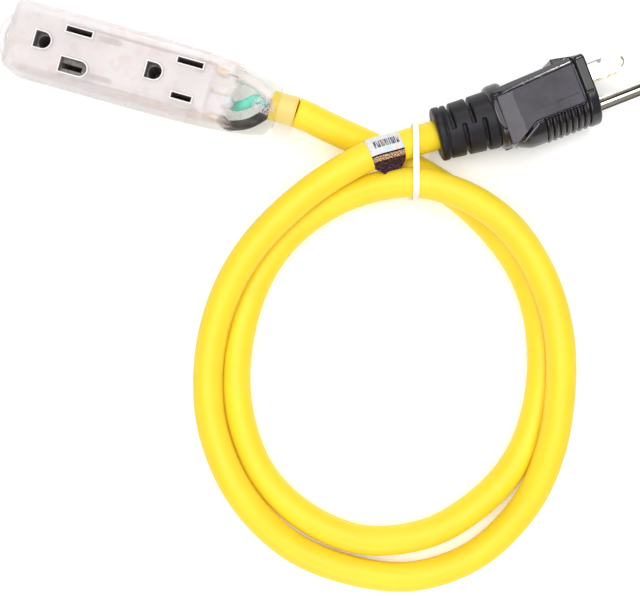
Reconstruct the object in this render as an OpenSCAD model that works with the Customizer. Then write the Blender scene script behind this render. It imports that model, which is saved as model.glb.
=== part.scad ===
// Short three-conductor extension cord: a clear two-outlet block, a looped cord and a moulded plug.
// Millimetres. The origin is on the resting surface under the middle of the outlet block,
// +X runs along the block towards its cord, +Z is up. Outlet openings face up.

/* [Outlet block] */
// Width of the clear block
block_w = 26; // [24:0.5:30]
// Height of the clear block
block_h = 26; // [26:0.5:30]
// From the block's end face to the first ground opening
end_to_ground = 13.4; // [12:0.1:18]
// From one outlet to the next
outlet_pitch = 41; // [38:0.5:60]
// From the second ground opening to the neck where the cord leaves
ground_to_neck = 44.3; // [42:0.1:60]
// How far the soft neck bends sideways, in degrees
neck_bend = 0; // [0:1:12]
// How far the soft neck sits off the block's middle line
neck_shift = 1.2; // [0:0.1:2]

/* [Outlet openings] */
// From a ground opening to the middle of its two blade slots
ground_to_slots = 11.9; // [11.8:0.1:12]
// From the block's middle line to each blade slot
slot_offset = 6.35; // [6.3:0.05:6.4]
// Radius of the round side of a ground opening
ground_open_r = 2.95; // [2.9:0.05:3.2]
// Radius of the ground well
ground_well_r = 2.6; // [2.5:0.05:2.7]
// Length of a neutral slot
neutral_slot_len = 9.4; // [8.4:0.1:9.8]
// Length of a hot slot
hot_slot_len = 7.4; // [7:0.1:7.8]
// Length of the large round-ended hot opening of the first outlet
wide_opening_len = 9.9; // [9:0.1:10.2]

/* [Cord] */
// Outside diameter of the cord's jacket
cord_d = 11; // [10.5:0.1:11]
// Diameter of one insulated conductor
conductor_d = 3.8; // [3.4:0.1:3.9]

/* [Plug] */
// Turn of the plug about the vertical, in degrees
plug_yaw = 36.8; // [30:0.1:40]
// Width of the plug between its two flat sides
plug_w = 24.4; // [24:0.1:25]
// Length of a blade in front of the plug's face
blade_len = 17.5; // [16:0.1:18.3]
// Width of a blade
blade_w = 6.35; // [6.2:0.05:6.5]
// Thickness of a blade
blade_t = 1.5; // [1.4:0.05:1.6]
// Diameter of the ground pin
ground_pin_d = 4.8; // [4.7:0.05:4.85]
// Length of the ground pin in front of the plug's face
ground_pin_len = 20.6; // [18:0.1:21]
// Length of the segmented strain relief behind the plug
relief_len = 21; // [20:0.5:30]

/* [Hidden] */
$fn = 96;
tiny = 0.01;

// Block along X
loop_reach = 6;
loop_outer_r = 11;
loop_inner_r = 7.9;
loop_t = 3.2;
neck_gap = 1;
grommet_len = 6.9;
grommet_r = 10;
cord_r = cord_d / 2;
exit_run = neck_gap + grommet_len;
exit_dir = [cos(neck_bend), -sin(neck_bend), 0];
body_len = end_to_ground + outlet_pitch + ground_to_neck;
grommet_reach = exit_run * cos(neck_bend) + grommet_r * sin(neck_bend);
end_x = (loop_reach - body_len - grommet_reach) / 2;
ground_x = [end_x + end_to_ground, end_x + end_to_ground + outlet_pitch];
slot_x = [ground_x[0] + ground_to_slots, ground_x[1] + ground_to_slots];
neck_x = end_x + body_len;
axis_z = block_h / 2;
neck_point = [neck_x, neck_shift, axis_z];
exit_point = neck_point + exit_run * exit_dir;

// Block through its height
floor_t = 1.8;
roof_t = 3;
cover_t = 5;
cover_top = block_h - roof_t;
cover_z = cover_top - cover_t;
carrier_x0 = end_x + 2.8;
carrier_x1 = slot_x[1] + 7.9;
carrier_half = 10.4;
cover_half = 7.9;
liner_t = 0.45;
liner_floor = 0.5;
d_depth = 6;
ground_liner_z = 4.1;
blade_liner_z = 6;
slot_w = 2;
wide_depth = 4;
wide_open_w = 5.3;
flat_x = 2.9;

// Contacts and buses
leaf_t = 0.5;
leaf_len = 5.8;
leaf = [[1.9, 5.4], [1.9, 9.5], [0.8, 12], [0.8, 13.5], [1.6, 16], [2.1, 17.4]];
leaf_base_z = 4.9;
bus_t = 0.8;
bus_y = slot_offset + leaf[0].x + leaf_t;
bus_top = 13.5;
bus_x1 = carrier_x1 - 0.5;
ground_bus_z = 2.2;
ground_bus_w = 5;
ground_cup_z = ground_bus_z + bus_t;
crimp_len = 6;
crimp_r = 1.7;
strand_r = 1.2;
crimp_z = 9.5;
ground_crimp_z = ground_bus_z + crimp_r + 0.6;
rivet_r = 0.8;
rivet_head_r = 1.4;
rivet_head_t = 0.3;
side_rivet_z = 7.2;
tail_x = 6.2;
tail_len = 9;
tail_w = 2;
tail_t = 0.5;
tail_y = [6.5, -7.6];

// Wire chamber inside the neck
chamber_x = carrier_x1 + 9.6;
chamber_half = 11;
jacket_inset = 1.5;
throat_r = 6;
lay_r = 2.25;
wire_r = conductor_d / 2;

// Plug in its own frame: +X out of the face, +Y to the blades' side, +Z up, origin on the face
plug_pos = [156.4, 38.3, axis_z];
flange_t = 4.3;
flange_r = axis_z - 0.1;
blade_y = 4.6;
pin_y = -7.3;
grip_y = -5.4;
rib_count = 7;
rib_pitch = 2.37;
rib_t = 1.2;
bridge_len = 18;
plug_crimp_len = 6;
pin_root_r = 2;
pin_root_out = 0.4;
collar_r = 12.2;
collar_x = -36.9;
collar_len = 6.9;
relief_y = 1.9;
relief_bend = 5.5;
relief_dir = [-cos(relief_bend), sin(relief_bend)];
relief_tip = [collar_x, relief_y] + relief_len * relief_dir;
yaw_x = [cos(plug_yaw), sin(plug_yaw), 0];
yaw_y = [-sin(plug_yaw), cos(plug_yaw), 0];
relief_end = plug_pos + relief_tip.x * yaw_x + relief_tip.y * yaw_y;
relief_in = -relief_dir.x * yaw_x - relief_dir.y * yaw_y;

// Route of the cord's middle line: two loops, tied where they meet, from the block to the plug
route = concat([exit_point], [
    [71, -1, 10.2], [87, -3, 6.2], [104, -6.5, 6.6], [122, -12, 6.1], [139, -21, 5.7],
    [154, -34, 5.6], [165, -52, 5.6], [171, -75, 5.6], [170, -98, 5.6], [161, -118, 5.6],
    [145, -135, 5.6], [122, -144, 5.6], [98, -141, 5.6], [78, -129, 5.6], [64, -108, 5.6],
    [58, -84, 5.6], [59, -60, 5.6], [67, -40, 7], [82, -23.5, 11], [102, -13, 16],
    [122, -12, 17.8], [141, -18, 17], [157, -31, 16.2], [169, -49, 15.8], [176, -70, 15.4],
    [179, -93, 13.4], [176, -116, 8.6], [164, -138, 5.8], [144, -152, 5.6], [120, -156, 5.9],
    [96, -152.5, 7.6], [74, -139, 11], [58, -119, 10.8], [50, -96, 11.2], [49, -72, 13],
    [55, -49, 15.8], [68, -27, 18.2], [84, -9.5, 18.9], [96.5, -0.8, 16.8]
], [relief_end]);
ring_sides = 10;
ring_steps = 2;
label_from = 38.15;
label_to = 38.95;

// Tie, in the upright plane that crosses the three strands
tie_point = [103.3, -6.6, 0];
tie_turn = 105.8;
tie_w = 2.2;
tie_t = 0.6;
tie_near = [-5.9, 16.5];
tie_far = [9.3, 15.5];
tie_low = [1.5, 6.6];
tie_room = 6.1;
tie_low_room = 5.6;

// Shared shapes

// Rounded rectangle, centred on X, standing on y = 0
module rounded_block(w, h, r) {
    translate([-w / 2 + r, 0]) square([w - 2 * r, h]);
    translate([-w / 2, r]) square([w, h - 2 * r]);
    for (x = [-w / 2 + r, w / 2 - r], y = [r, h - r]) translate([x, y]) circle(r);
}

// Half ring section for a turned piece: from z0 to z1 between two radii, rounded outside
module turned_ring(z0, z1, r_in, r_out, round_r) {
    translate([0, 0, z0]) rotate_extrude() {
        translate([r_in, 0]) square([r_out - round_r - r_in, z1 - z0]);
        translate([r_in, round_r]) square([r_out - r_in, z1 - z0 - 2 * round_r]);
        for (z = [round_r, z1 - z0 - round_r]) translate([r_out - round_r, z]) circle(round_r, $fn = 32);
    }
}

// Outline of a ground opening: round towards the cord, flat towards the block's end
module ground_outline(grow) {
    circle(ground_open_r + grow);
    translate([-flat_x - grow, -ground_open_r - grow]) square([flat_x + grow, 2 * (ground_open_r + grow)]);
}

// Outline of a straight slot
module slot_outline(length, grow) {
    square([length + 2 * grow, slot_w + 2 * grow], center = true);
}

// Outline of the large hot opening: a slot with its cord end rounded
module wide_outline(grow) {
    r = wide_open_w / 2;
    x0 = -hot_slot_len / 2 - 0.15;
    x1 = x0 + wide_opening_len - r;
    translate([x0 - grow, -r - grow]) square([x1 - x0 + grow, 2 * (r + grow)]);
    translate([x1, 0]) circle(r + grow);
}

module at_neck() {
    translate(neck_point) rotate([0, 0, -neck_bend]) rotate([0, 90, 0]) children();
}

module at_plug() {
    translate(plug_pos) rotate([0, 0, plug_yaw]) children();
}

module at_relief() {
    translate([collar_x, relief_y, 0]) rotate([0, 0, 180 - relief_bend]) rotate([0, 90, 0]) children();
}

// Smooth curve through the route's points; u counts points
function before(i) = i == 0 ? route[0] - (norm(route[1] - route[0])) * exit_dir : route[i - 1];
function after(i) = i == len(route) - 1
    ? route[i] + norm(route[i] - route[i - 1]) * relief_in
    : route[i + 1];
function curve(i, t) =
    let (a = before(i), b = route[i], c = route[i + 1], d = after(i + 1))
    0.5 * (2 * b + (c - a) * t + (2 * a - 5 * b + 4 * c - d) * t * t + (3 * b - a - 3 * c + d) * t * t * t);
function route_at(u) =
    let (i = min(floor(u), len(route) - 2))
    curve(i, u - i);
function unit(v) = v / norm(v);
function heading(u) =
    u <= 0 ? exit_dir :
    u >= len(route) - 1 ? relief_in :
    unit(route_at(min(u + 0.05, len(route) - 1)) - route_at(max(u - 0.05, 0)));
function ring_at(c, t, r) =
    let (side = unit(cross(t, [0, 0, 1])), up = cross(side, t))
    [for (k = [0 : ring_sides - 1])
        let (a = 360 * (k + 0.5) / ring_sides)
        c + r * (cos(a) * side + sin(a) * up)];

// Tube through a list of rings of points
module skin(rings) {
    count = len(rings) / ring_sides - 1;
    last = count * ring_sides;
    sides = [for (i = [0 : count - 1], k = [0 : ring_sides - 1])
        let (a = i * ring_sides, n = (k + 1) % ring_sides)
        each [[a + k, a + n, a + ring_sides + k], [a + n, a + ring_sides + n, a + ring_sides + k]]];
    ends = [[for (k = [ring_sides - 1 : -1 : 0]) k], [for (k = [0 : ring_sides - 1]) last + k]];
    polyhedron(rings, concat(sides, ends));
}

// Tube along the route between two places on it
module route_tube(from, to, count, r) {
    skin([for (i = [0 : count])
        let (u = from + (to - from) * i / count)
        each ring_at(route_at(u), heading(u), r)]);
}

// Bent wire through a list of points
module wire(points, r) {
    last = len(points) - 1;
    skin([for (i = [0 : last])
        each ring_at(points[i], unit(points[min(i + 1, last)] - points[max(i - 1, 0)]), r)]);
}

// Outlet block

// Distance of the shoulder's surface from the cord's axis, from 0 at its start to 1 at the neck
function shoulder_r(t) = 9 + 9.4 * pow(1 - pow(t, 1.8), 0.8);

module block_outside() {
    shoulder = 30;
    steps = 14;
    shoulder_x = neck_x - shoulder;
    taper_x = neck_x - 23;
    intersection() {
        translate([end_x, 0, 0]) rotate([90, 0, 90]) linear_extrude(body_len)
            rounded_block(block_w, block_h, 3.6);
        linear_extrude(block_h) {
            corner = 3.4;
            translate([end_x + corner, -block_w / 2]) square([taper_x - end_x - corner, block_w]);
            translate([end_x, -block_w / 2 + corner]) square([corner + tiny, block_w - 2 * corner]);
            for (y = [-1, 1]) translate([end_x + corner, y * (block_w / 2 - corner)]) circle(corner);
            polygon([[taper_x, -block_w / 2], [neck_x, -10.6], [neck_x, 10.6], [taper_x, block_w / 2]]);
        }
        translate([shoulder_x, 0, axis_z]) rotate([0, 90, 0]) rotate_extrude() polygon(concat(
            [[0, end_x - shoulder_x - 1], [20, end_x - shoulder_x - 1], [20, 0]],
            [for (i = [0 : steps]) [shoulder_r(i / steps), shoulder * i / steps]],
            [[0, shoulder]]));
    }
}

module hang_loop() {
    back = loop_outer_r - loop_reach;
    translate([end_x + back, 0, axis_z - loop_t / 2]) difference() {
        cylinder(h = loop_t, r = loop_outer_r);
        translate([0, 0, -1]) cylinder(h = loop_t + 2, r = loop_inner_r);
        translate([1 - back, -loop_outer_r - 1, -1])
            cube([3 * loop_outer_r, 2 * loop_outer_r + 2, loop_t + 2]);
    }
}

module carrier_room() {
    translate([carrier_x0, -carrier_half, floor_t])
        cube([carrier_x1 - carrier_x0, 2 * carrier_half, cover_z - floor_t]);
    translate([carrier_x0, -cover_half, floor_t])
        cube([carrier_x1 - carrier_x0, 2 * cover_half, cover_top - floor_t]);
}

// Outsides of all six liners, as the holes they sit in
module liner_holes() {
    for (x = ground_x) {
        translate([x, 0, block_h - d_depth - liner_floor])
            linear_extrude(d_depth + liner_floor + tiny) ground_outline(liner_t);
        translate([x, 0, ground_liner_z])
            cylinder(h = block_h - ground_liner_z, r = ground_well_r + liner_t);
    }
    for (x = slot_x) {
        translate([x, slot_offset, blade_liner_z])
            linear_extrude(block_h) slot_outline(neutral_slot_len, liner_t);
        translate([x, -slot_offset, blade_liner_z]) linear_extrude(block_h)
            slot_outline(hot_slot_len, liner_t);
    }
    translate([slot_x[0], -slot_offset, block_h - wide_depth - liner_floor])
        linear_extrude(block_h) wide_outline(liner_t);
}

module wire_chamber() {
    translate([carrier_x1 - tiny, -chamber_half, floor_t])
        cube([chamber_x - carrier_x1 + tiny, 2 * chamber_half, cover_top - floor_t - 0.6]);
    translate([chamber_x - tiny, 0, axis_z]) rotate([0, 90, 0])
        cylinder(h = neck_x - jacket_inset - chamber_x + 0.1, r1 = 10.2, r2 = throat_r);
    at_neck() translate([0, 0, -jacket_inset]) cylinder(h = jacket_inset + neck_gap + 1, r = cord_r);
}

module block_overmold() {
    color([0.95, 0.92, 0.94, 0.35]) difference() {
        union() {
            block_outside();
            hang_loop();
            at_neck() translate([0, 0, -4]) cylinder(h = neck_gap + 4, r = 8.4);
        }
        carrier_room();
        contact_tails();
        liner_holes();
        wire_chamber();
    }
}

module carrier_base() {
    wall_y = slot_offset - 2.65;
    color([0.96, 0.86, 0.86]) difference() {
        translate([carrier_x0, -carrier_half, floor_t])
            cube([carrier_x1 - carrier_x0, 2 * carrier_half, cover_z - floor_t]);
        for (x = ground_x) translate([x, 0, ground_bus_z]) cylinder(h = cover_z, r = 4.2);
        translate([ground_x[0] - 5, -ground_bus_w / 2, ground_bus_z])
            cube([carrier_x1 - ground_x[0] + 6, ground_bus_w, cover_z]);
        for (side = [0, 1]) mirror([0, side, 0]) {
            for (x = slot_x) translate([x - 5.6, wall_y, leaf_base_z]) cube([11.2, 9.9 - wall_y, cover_z]);
            translate([slot_x[0] - 5.6, bus_y, leaf_base_z])
                cube([carrier_x1 - slot_x[0] + 6, 9.9 - bus_y, cover_z]);
        }
    }
}

module carrier_cover() {
    color([0.97, 0.88, 0.88]) difference() {
        translate([carrier_x0, -cover_half, cover_z])
            cube([carrier_x1 - carrier_x0, 2 * cover_half, cover_t]);
        liner_holes();
    }
}

module ground_liner(x) {
    window = 2;
    color([0.13, 0.12, 0.12]) translate([x, 0, 0]) difference() {
        union() {
            translate([0, 0, block_h - d_depth - liner_floor])
                linear_extrude(d_depth + liner_floor) ground_outline(liner_t);
            translate([0, 0, ground_liner_z])
                cylinder(h = block_h - d_depth - ground_liner_z, r = ground_well_r + liner_t);
        }
        translate([0, 0, block_h - d_depth]) linear_extrude(d_depth + 1) ground_outline(0);
        translate([0, 0, ground_liner_z + liner_floor]) cylinder(h = block_h, r = ground_well_r);
        translate([-window / 2, -5, 8.8]) cube([window, 10, 2.4]);
    }
}

module ground_liner_1() {
    ground_liner(ground_x[0]);
}

module ground_liner_2() {
    ground_liner(ground_x[1]);
}

// Straight liner of one slot, with windows for the contact's two leaves
module slot_liner(x, y, length, top) {
    translate([x, y, 0]) difference() {
        translate([0, 0, blade_liner_z]) linear_extrude(top - blade_liner_z) slot_outline(length, liner_t);
        translate([0, 0, blade_liner_z + liner_floor]) linear_extrude(block_h) slot_outline(length, 0);
        translate([-leaf_len / 2 - 0.2, -3, 9.2]) cube([leaf_len + 0.4, 6, 8.6]);
    }
}

module neutral_liner_1() {
    color([0.1, 0.09, 0.09]) slot_liner(slot_x[0], slot_offset, neutral_slot_len, block_h);
}

module neutral_liner_2() {
    color([0.1, 0.09, 0.09]) slot_liner(slot_x[1], slot_offset, neutral_slot_len, block_h);
}

module hot_liner_1() {
    tray_z = block_h - wide_depth;
    color([0.13, 0.12, 0.12]) {
        slot_liner(slot_x[0], -slot_offset, hot_slot_len, tray_z);
        translate([slot_x[0], -slot_offset, 0]) difference() {
            translate([0, 0, tray_z - liner_floor]) linear_extrude(wide_depth + liner_floor)
                wide_outline(liner_t);
            translate([0, 0, tray_z]) linear_extrude(wide_depth + 1) wide_outline(0);
            linear_extrude(block_h) slot_outline(hot_slot_len, 0);
        }
    }
}

module hot_liner_2() {
    color([0.1, 0.09, 0.09]) slot_liner(slot_x[1], -slot_offset, hot_slot_len, block_h);
}

// Folded contact: two sprung leaves that reach through the liner's windows
module blade_contact(x, side) {
    top = len(leaf) - 1;
    leaf_x = leaf[0].x + leaf_t;
    inside = concat([for (i = [top : -1 : 0]) leaf[i]], [for (p = leaf) [-p.x, p.y]]);
    outside = concat([for (i = [top : -1 : 1]) [-leaf[i].x - leaf_t, leaf[i].y]],
        [[-leaf_x, leaf_base_z], [leaf_x, leaf_base_z]], [for (i = [1 : top]) leaf[i] + [leaf_t, 0]]);
    color([0.8, 0.62, 0.3]) translate([x - leaf_len / 2, side * slot_offset, 0]) difference() {
        rotate([90, 0, 90]) linear_extrude(leaf_len) polygon(concat(inside, outside));
        translate([leaf_len / 2, 0, side_rivet_z]) rotate([-90 * side, 0, 0]) cylinder(h = 4, r = rivet_r);
    }
}

module neutral_contact_1() {
    blade_contact(slot_x[0], 1);
}

module neutral_contact_2() {
    blade_contact(slot_x[1], 1);
}

module hot_contact_1() {
    blade_contact(slot_x[0], -1);
}

module hot_contact_2() {
    blade_contact(slot_x[1], -1);
}

// Sprung cup round a ground well, with two dimples that reach through its windows
module ground_contact(x) {
    r_in = ground_well_r + liner_t + 0.1;
    top = 13;
    color([0.8, 0.62, 0.3]) translate([x, 0, 0]) difference() {
        union() {
            translate([0, 0, ground_cup_z]) cylinder(h = leaf_t, r = r_in + leaf_t);
            difference() {
                translate([0, 0, ground_cup_z]) cylinder(h = top - ground_cup_z, r = r_in + leaf_t);
                translate([0, 0, ground_cup_z - 1]) cylinder(h = top, r = r_in);
                for (a = [45, 135]) rotate([0, 0, a]) translate([-5, -0.5, 6]) cube([10, 1, top]);
            }
            for (a = [0, 180]) rotate([0, 0, a]) translate([0, ground_well_r + 0.02, 10])
                rotate([-90, 0, 0]) cylinder(h = r_in - ground_well_r + 0.2, r = 0.8);
        }
        translate([0, 0, ground_cup_z - 1]) cylinder(h = 2, r = rivet_r);
    }
}

module ground_contact_1() {
    ground_contact(ground_x[0]);
}

module ground_contact_2() {
    ground_contact(ground_x[1]);
}

// Upright strip with a crimp barrel formed on its cord end
module side_bus(side) {
    color([0.72, 0.5, 0.24]) {
        difference() {
            translate([slot_x[0] - 5, side > 0 ? bus_y : -bus_y - bus_t, leaf_base_z])
                cube([bus_x1 - slot_x[0] + 5, bus_t, bus_top - leaf_base_z]);
            for (x = slot_x) translate([x, 0, side_rivet_z]) rotate([-90 * side, 0, 0])
                cylinder(h = 12, r = rivet_r);
        }
        translate([bus_x1, side * (bus_y - 0.5), crimp_z]) rotate([0, 90, 0]) crimp_barrel(crimp_len);
    }
}

module crimp_barrel(length) {
    difference() {
        cylinder(h = length, r = crimp_r);
        translate([0, 0, 1]) cylinder(h = length, r = strand_r);
    }
}

module neutral_bus() {
    side_bus(1);
}

module hot_bus() {
    side_bus(-1);
}

module ground_bus() {
    color([0.72, 0.5, 0.24]) {
        difference() {
            translate([ground_x[0] - 4.6, -ground_bus_w / 2, ground_bus_z])
                cube([bus_x1 - ground_x[0] + 4.6, ground_bus_w, bus_t]);
            for (x = ground_x) translate([x, 0, 0]) cylinder(h = block_h, r = rivet_r);
        }
        translate([bus_x1, 0, ground_crimp_z]) rotate([0, 90, 0]) crimp_barrel(crimp_len);
    }
}

// Rivet through two sheets that are t thick together, standing along +Z
module rivet(t) {
    cylinder(h = t, r = rivet_r, $fn = 48);
    for (z = [-rivet_head_t, t]) translate([0, 0, z])
        cylinder(h = rivet_head_t, r = rivet_head_r, $fn = 48);
}

module contact_rivets() {
    color([0.75, 0.72, 0.66]) {
        for (x = slot_x, side = [-1, 1]) translate([x, side * (bus_y - leaf_t), side_rivet_z])
            rotate([-90 * side, 0, 0]) rivet(leaf_t + bus_t);
        for (x = ground_x) translate([x, 0, ground_bus_z]) {
            cylinder(h = bus_t + leaf_t, r = rivet_r, $fn = 48);
            translate([0, 0, bus_t + leaf_t]) cylinder(h = rivet_head_t, r = rivet_head_r, $fn = 48);
        }
    }
}

// Brass tongues on the carrier's cover beside the first outlet
module contact_tails() {
    r = tail_w / 2;
    color([0.72, 0.5, 0.24]) for (y = tail_y)
        translate([slot_x[0] + tail_x, y, cover_top]) linear_extrude(tail_t) {
            translate([r, -r]) square([tail_len - 2 * r, tail_w]);
            for (x = [r, tail_len - r]) translate([x, 0]) circle(r, $fn = 48);
        }
}

lamp_x = carrier_x1 + 1;
lamp_y = -3;
lamp_z = 18.6;
lamp_len = 7;
resistor_y = 3.6;

module pilot_lamp() {
    color([0.85, 0.75, 0.9]) translate([lamp_x, lamp_y, lamp_z]) rotate([0, 90, 0]) {
        cylinder(h = lamp_len, r = 1.9, $fn = 48);
        translate([0, 0, lamp_len]) sphere(1.9, $fn = 48);
    }
}

module lamp_resistor() {
    color([0.75, 0.68, 0.55]) translate([lamp_x + 1, resistor_y, lamp_z]) rotate([0, 90, 0])
        turned_ring(0, 6, 0, 1.2, 0.4);
}

module lamp_leads() {
    lead_r = 0.3;
    crimp_side = bus_y - 0.5;
    color([0.8, 0.8, 0.82]) {
        wire([[lamp_x, lamp_y - 0.7, lamp_z], [lamp_x - 0.6, lamp_y - 0.7, lamp_z],
            [lamp_x - 0.6, -crimp_side, 14],
            [lamp_x + 0.4, -crimp_side, crimp_z + crimp_r]], lead_r);
        wire([[lamp_x, lamp_y + 0.7, lamp_z], [lamp_x - 0.6, lamp_y + 0.7, lamp_z],
            [lamp_x - 0.6, resistor_y, lamp_z], [lamp_x + 1, resistor_y, lamp_z]], lead_r);
        wire([[lamp_x + 7, resistor_y, lamp_z], [lamp_x + 8, resistor_y, lamp_z],
            [lamp_x + 8, crimp_side - 0.8, 15],
            [lamp_x + 3, crimp_side, crimp_z + crimp_r]], lead_r);
    }
}

crimp_end = bus_x1 + crimp_len;
wire_stop = neck_point - (jacket_inset + 0.8) * exit_dir;
face_side = [-exit_dir.y, exit_dir.x, 0];

// Place of a conductor in the cord's end, a degrees round from the side, above the axis for a > 0
function lay_point(face, side, a) = face + lay_r * (cos(a) * side + sin(a) * [0, 0, 1]);

module block_white_wire() {
    color("white") wire([[crimp_end, bus_y - 0.5, crimp_z], [crimp_end + 1.5, bus_y - 0.5, crimp_z],
        [crimp_end + 4.5, bus_y - 0.9, 10.8], [neck_x - 9, 5.6, 12.6], [neck_x - 5.5, 4.4, 13.4],
        lay_point(wire_stop, face_side, 30)], wire_r);
}

module block_black_wire() {
    color([0.06, 0.06, 0.06]) wire([[crimp_end, 0.5 - bus_y, crimp_z],
        [crimp_end + 1.5, 0.5 - bus_y, crimp_z],
        [crimp_end + 4, -9, 10.3], [neck_x - 10.6, -8, 11.2], [neck_x - 6.2, -5.6, 11.9],
        lay_point(wire_stop, face_side, 210)], wire_r);
}

module block_green_wire() {
    color([0.1, 0.62, 0.45]) wire([[crimp_end, 0, ground_crimp_z], [crimp_end + 1.5, 0, ground_crimp_z],
        [crimp_end + 5, -1.2, 7], [neck_x - 9.6, -1.6, 8.6], [neck_x - 5.6, -0.4, 9.8],
        lay_point(wire_stop, face_side, 270)], wire_r);
}

module block_wire_ends() {
    end_y = bus_y - 0.5;
    color([0.8, 0.45, 0.25]) for (p = [[-end_y, crimp_z], [end_y, crimp_z], [0, ground_crimp_z]])
        translate([bus_x1 + 1, p.x, p.y]) rotate([0, 90, 0])
            cylinder(h = crimp_len - 1, r = strand_r - 0.02, $fn = 48);
}

module block_jacket_end() {
    color([1, 0.87, 0]) at_neck() translate([0, 0, -jacket_inset])
        cylinder(h = jacket_inset + exit_run, r = cord_r);
}

module cord_grommet() {
    color([0.95, 0.92, 0.94, 0.35]) at_neck() turned_ring(neck_gap, exit_run, cord_r, grommet_r, 1.2);
}

// Cord and what is on it

module cord_jacket() {
    color([1, 0.87, 0]) route_tube(0, len(route) - 1, (len(route) - 1) * ring_steps, cord_r);
}

module cord_label() {
    over = 0.1;
    color("silver") difference() {
        route_tube(label_from, label_to, 4, cord_r + 0.4);
        route_tube(label_from - over, label_to + over, 6, cord_r + 0.05);
    }
}

module tie_outline(grow) {
    hull() {
        for (p = [tie_near, tie_far]) translate(p) circle(tie_room + grow, $fn = 48);
        for (x = [-tie_low.x, tie_low.x]) translate([x, tie_low.y]) circle(tie_low_room + grow, $fn = 48);
    }
}

module at_tie() {
    translate(tie_point) rotate([0, 0, tie_turn]) rotate([90, 0, 0]) children();
}

module tie_strap() {
    color("white") at_tie() translate([0, 0, -tie_w / 2]) linear_extrude(tie_w) difference() {
        tie_outline(tie_t);
        tie_outline(0);
    }
}

// The head sits against the strap's slanted near side
module tie_head() {
    low = [-tie_low.x, tie_low.y];
    run = low - tie_near;
    lean = asin((tie_room - tie_low_room) / norm(run));
    out = atan2(run.y, run.x) - 90 + lean;
    share = 0.4;
    from = tie_low_room + share * (tie_room - tie_low_room) + tie_t;
    color("white") at_tie() translate(low - share * run) rotate([0, 0, out])
        translate([from + 0.02, -1.8, -2.1]) cube([2.2, 3.6, 4.2]);
}

// Plug

// Section of the plug: round round the ground pin, square round the blades; +X to the blades' side
module plug_section(half_w, top, centre) {
    corner = 2.4;
    translate([centre, 0]) circle(half_w);
    translate([centre, -half_w]) square([top - corner - centre, 2 * half_w]);
    translate([centre, -half_w + corner]) square([top - centre, 2 * (half_w - corner)]);
    for (y = [-1, 1]) translate([top - corner, y * (half_w - corner)]) circle(corner);
}

// Section of the inner mould that holds the blades and the pin
module bridge_section() {
    plug_section(9.4, 9.6, -1);
}

// Carries a section's +X to the plug's +Y and its +Z to the plug's +X
module along_plug(x) {
    translate([x, 0, 0]) rotate([90, 0, 90]) children();
}

module plug_shape() {
    half = plug_w / 2;
    shoulder_at = -25.5;
    hull() {
        along_plug(-flange_t - 0.2) linear_extrude(0.2) plug_section(half, 11.8, -1);
        along_plug(shoulder_at) linear_extrude(0.2) plug_section(half - 0.3, 11.4, -1.2);
    }
    hull() {
        along_plug(shoulder_at) linear_extrude(0.2) plug_section(half - 0.3, 11.4, -1.2);
        along_plug(-33) linear_extrude(0.2) plug_section(10.6, 11, 0);
    }
}

module grip_ribs() {
    intersection() {
        union() {
            along_plug(-21) linear_extrude(17) plug_section(11.3, 4, -1);
            for (i = [0 : rib_count - 1]) along_plug(-flange_t - 0.8 - rib_t - i * rib_pitch)
                linear_extrude(rib_t) plug_section(flange_r - 0.1, 4, -1);
        }
        translate([-22, -20, -20]) cube([22 - flange_t, 20 + grip_y, 40]);
    }
}

module plug_body() {
    half = plug_w / 2;
    lip = [[-11, 10.8], [-10.8, 13.5], [-10, 13.8], [-0.8, 12.2], [0, 11.6], [0, 10.8]];
    color([0.25, 0.25, 0.27]) at_plug() difference() {
        union() {
            difference() {
                plug_shape();
                translate([-20.4, -20, -20]) cube([20.4 - flange_t, 20 + grip_y, 40]);
                for (side = [0, 1]) mirror([0, 0, side]) translate([-28.4, -5.3, half - 0.6])
                    cube([23.3, 14.4, 5]);
            }
            grip_ribs();
            along_plug(-flange_t) linear_extrude(flange_t) plug_section(flange_r, 12, -1);
            translate([0, 0, -8]) linear_extrude(16) polygon(lip);
            translate([collar_x, relief_y, 0]) rotate([0, 90, 0])
                turned_ring(0, collar_len, 0, collar_r, 1.6);
        }
        along_plug(-bridge_len) linear_extrude(bridge_len + 1) bridge_section();
        along_plug(-31) linear_extrude(31 - bridge_len + tiny) bridge_section();
        translate([-33.9, 0, 0]) rotate([0, 90, 0]) cylinder(h = 3, r1 = 7.6, r2 = 9.3);
        at_relief() translate([0, 0, -4]) cylinder(h = 5, r = cord_r);
    }
}

module blade_bridge() {
    color([0.2, 0.2, 0.21]) at_plug() difference() {
        along_plug(-bridge_len) linear_extrude(bridge_len) bridge_section();
        for (z = [-slot_offset, slot_offset])
            translate([-bridge_len - 1, blade_y - blade_w / 2, z - blade_t / 2])
                cube([bridge_len + 2, blade_w, blade_t]);
        translate([-bridge_len - 1, pin_y, 0]) rotate([0, 90, 0])
            cylinder(h = bridge_len + 2, r = pin_root_r);
    }
}

module blade(z) {
    tip = 1.2;
    half = blade_w / 2;
    hole_x = 11.9;
    color([0.86, 0.8, 0.62]) at_plug() translate([0, blade_y, z - blade_t / 2]) difference() {
        linear_extrude(blade_t) polygon([[-bridge_len, -half], [blade_len - tip, -half],
            [blade_len, tip - half],
            [blade_len, half - tip], [blade_len - tip, half], [-bridge_len, half]]);
        translate([hole_x, 0, -1]) cylinder(h = blade_t + 2, r = 1.95);
    }
}

module hot_blade() {
    blade(slot_offset);
}

module neutral_blade() {
    blade(-slot_offset);
}

module ground_pin() {
    r = ground_pin_d / 2;
    color([0.86, 0.8, 0.62]) at_plug() translate([-bridge_len, pin_y, 0]) rotate([0, 90, 0]) {
        cylinder(h = bridge_len + pin_root_out, r = pin_root_r);
        translate([0, 0, bridge_len + pin_root_out]) cylinder(h = ground_pin_len - pin_root_out - r, r = r);
        translate([0, 0, bridge_len + ground_pin_len - r]) sphere(r);
    }
}

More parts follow.
